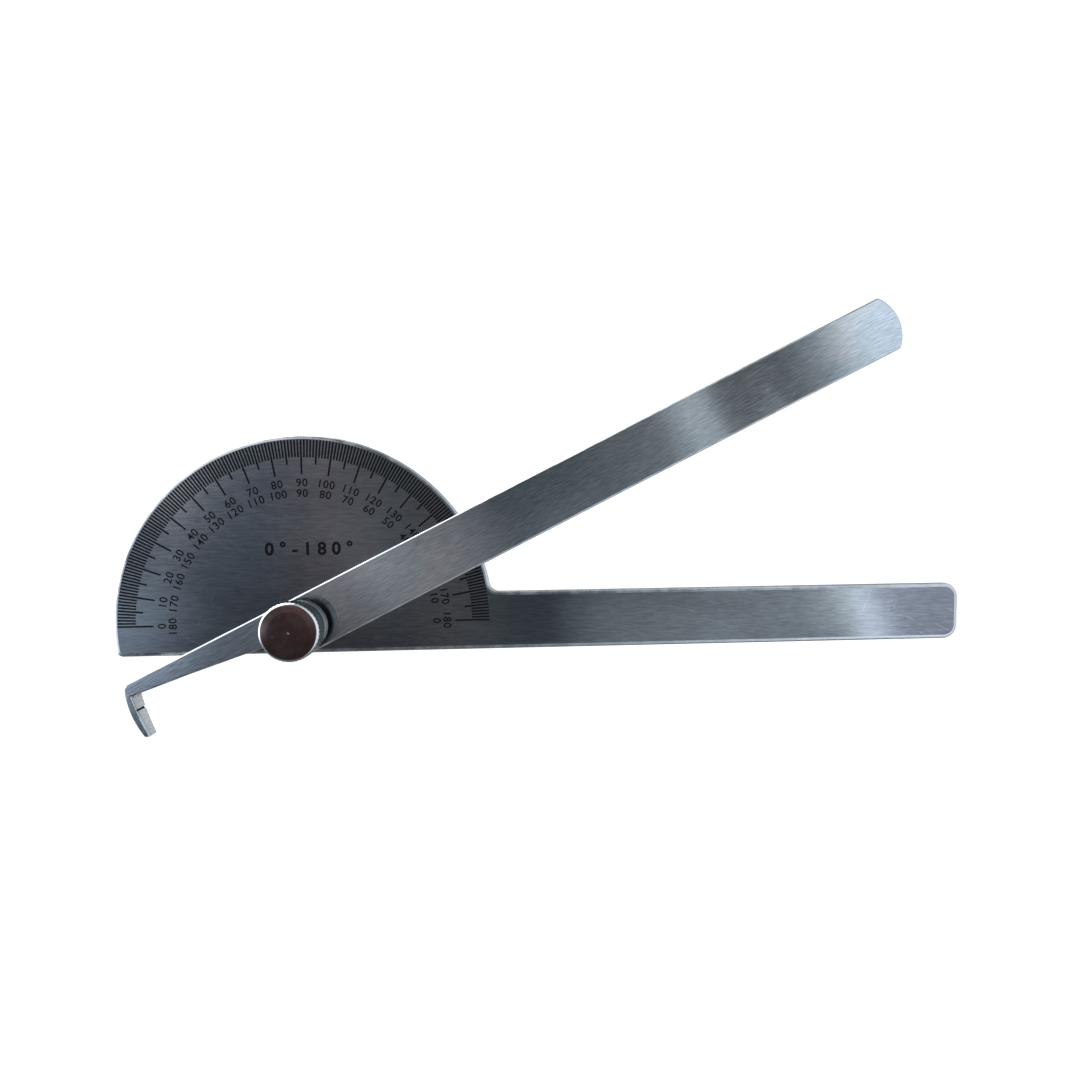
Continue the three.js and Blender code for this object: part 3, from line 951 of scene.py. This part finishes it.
def ceiling(g, x, y, z):
    """The bright and dim stretches overhead, by how far out a ray goes for each unit that it rises."""
    rise = g.math("MAXIMUM", z, LEAST_RISE)
    out_x = g.math("DIVIDE", x, rise)
    out_y = g.math("DIVIDE", y, rise)

    def along(angle, start=(0.0, 0.0)):
        """How far out a ray is from a start, measured in a direction."""
        part_x = g.math("MULTIPLY", g.math("SUBTRACT", out_x, start[0]), math.cos(angle))
        part_y = g.math("MULTIPLY", g.math("SUBTRACT", out_y, start[1]), math.sin(angle))
        return g.math("ADD", part_x, part_y)

    near = room_ramp(g, along(0.0), grey_stops(NEAR_ROOM))
    far = room_ramp(g, along(REST_ANGLE), grey_stops(FAR_ROOM))
    across = along(ROOM_MIDDLE_ANGLE + math.pi / 2, ROOM_MIDDLE)
    overhead = g.mix(g.ramp(across, -ROOM_EDGE_SOFTNESS, ROOM_EDGE_SOFTNESS), near, far)

    from_strip = g.math("ABSOLUTE", along(STRIP_LIGHT_ANGLE, STRIP_LIGHT_PLACE))
    strip = g.ramp(from_strip, STRIP_LIGHT_HALF_WIDTH + STRIP_LIGHT_SOFTNESS,
                   STRIP_LIGHT_HALF_WIDTH - STRIP_LIGHT_SOFTNESS)
    strip = g.math("MULTIPLY", strip, g.ramp(across, *STRIP_LIGHT_FADE, 0.0, STRIP_LIGHT_LEVEL))
    overhead = g.math("ADD", overhead, strip)

    above_tail = along(REST_ANGLE + math.pi / 2, TAIL_EDGE_PLACE)
    patch = g.math("MULTIPLY", g.ramp(out_x, *LOW_PATCH_FADE_X),
                   g.ramp(out_y, *LOW_PATCH_FADE_Y, 0.0, LOW_PATCH_LEVEL))
    patch = g.math("MULTIPLY", patch, g.ramp(above_tail, *LOW_PATCH_FADE_TAIL))
    overhead = g.math("ADD", overhead, patch)
    corner = g.math("MULTIPLY", g.ramp(out_x, *DIM_CORNER_FADE_X),
                    g.ramp(above_tail, *DIM_CORNER_FADE_TAIL))
    overhead = g.mix(corner, overhead, grey(DIM_CORNER_LEVEL))
    return g.mix(1.0, overhead, room_ramp(g, out_x, ROOM_TINTS), "MULTIPLY")


def walls(g, x, y, z):
    """The room's sides and the bench under them, by a ray's direction."""
    side = g.ramp(y, *SIDE_FADE, DIM_SIDE_LEVEL, FAR_SIDE_LEVEL)
    right = g.math("MULTIPLY", g.ramp(x, *RIGHT_SIDE_FADE, 0.0, RIGHT_SIDE_LEVEL),
                   g.ramp(z, *RIGHT_SIDE_FOOT))
    to_window = g.math("ADD", g.math("MULTIPLY", x, WINDOW_SIDE[0]),
                       g.math("MULTIPLY", y, WINDOW_SIDE[1]))
    window = g.ramp(to_window, *WINDOW_FADE, 0.0, WINDOW_LEVEL)
    side = g.math("ADD", side, g.math("ADD", right, window))
    below = g.mix(g.ramp(z, *BENCH_FADE), side, grey(BENCH_LEVEL))
    return g.mix(1.0, below, rgb(*SIDE_TINT), "MULTIPLY")


def make_world():
    """A room with bright and dim stretches of ceiling, a window, and a dim side towards -Y."""
    world = bpy.data.worlds.new("studio")
    bpy.context.scene.world = world
    g = Graph(world)
    coords = g.node("ShaderNodeTexCoord").outputs["Generated"]
    x, y, z = g.node("ShaderNodeSeparateXYZ", {0: coords}).outputs
    room = g.mix(g.ramp(z, *CEILING_FADE), ceiling(g, x, y, z), walls(g, x, y, z))
    g.feed(g.tree.nodes["Background"], "Color", room)


def make_camera():
    data = bpy.data.cameras.new("camera")
    data.sensor_width = SENSOR_WIDTH
    data.lens = CAMERA_LENS
    data.clip_start = 0.005
    data.clip_end = 20.0
    camera = bpy.data.objects.new("camera", data)
    camera.location = CAMERA_PLACE
    camera.rotation_euler = CAMERA_TURN
    bpy.context.scene.collection.objects.link(camera)
    bpy.context.scene.camera = camera


def make_sheets():
    """The plate and the arm, with black in their engraved lines."""
    fill = black_fill("mark_fill")
    plate_steel = brushed_steel("plate_steel", rgb(0.25, 0.25, 0.265), rgb(0.31, 0.315, 0.325),
                                angle=0.0, rough=0.13, seed=3)
    # The plate's edge steel is far lighter than its face: a painted highlight along the rounded edges and
    # the countersink
    plate_edge_highlight = buffed_edge("plate_edge_highlight", rgb(0.62, 0.63, 0.63), rgb(0.80, 0.80, 0.80))
    make_plate((plate_steel, plate_edge_highlight, fill))
    arm_steel = brushed_steel("arm_steel", rgb(0.65, 0.70, 0.72), rgb(0.82, 0.80, 0.815),
                              angle=REST_ANGLE, rough=0.11, seed=11)
    arm_edge = buffed_edge("arm_edge", rgb(0.62, 0.64, 0.66), rgb(0.86, 0.87, 0.88))
    make_arm((arm_steel, arm_edge, fill))


def make_clamp():
    """The washers, the stud and the thumb nut."""
    plate_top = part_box("protractor_plate")[1][2]
    arm_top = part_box("moving_arm")[1][2]
    drag_high = arm_top - ARM_THICKNESS - CONTACT_GAP
    make_ring("drag_washer", "friction_washer", "plate_body", nylon("washer_nylon"),
              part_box("friction_washer")[1][0], plate_top + CONTACT_GAP, drag_high, DRAG_WASHER_CHAMFER)
    washer_steel = turned_steel("washer_steel", rgb(0.20, 0.22, 0.225), rgb(0.31, 0.335, 0.34), 0.3)
    top_radius, _, top_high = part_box("flat_washer")[1]
    make_ring("top_washer", "flat_washer", "arm_body", washer_steel,
              top_radius, arm_top + CONTACT_GAP, top_high, TOP_WASHER_CHAMFER)
    make_stud(turned_steel("stud_steel", rgb(0.45, 0.46, 0.47), rgb(0.62, 0.63, 0.64), 0.28))
    side = turned_steel("nut_side", rgb(0.06, 0.07, 0.075), rgb(0.13, 0.145, 0.15), 0.24)
    # The rim chamfer's steel is far lighter than the nut's side: a painted highlight on the rim
    rim = turned_steel("nut_rim_highlight", rgb(0.78, 0.79, 0.79), rgb(0.9, 0.9, 0.9), 0.16)
    cap = turned_steel("nut_cap", rgb(0.26, 0.12, 0.105), rgb(0.31, 0.22, 0.195), 0.16, wear=0.7)
    make_nut((side, rim, cap))


def main():
    make_camera()
    make_world()
    make_floor()
    soft_light("window", LIGHT_PLACE, (0.0, 0.0, 0.0), LIGHT_SIZE, LIGHT_POWER, LIGHT_COLOUR)
    make_sheets()
    make_clamp()
    bpy.context.scene.view_settings.view_transform = "Standard"


main()
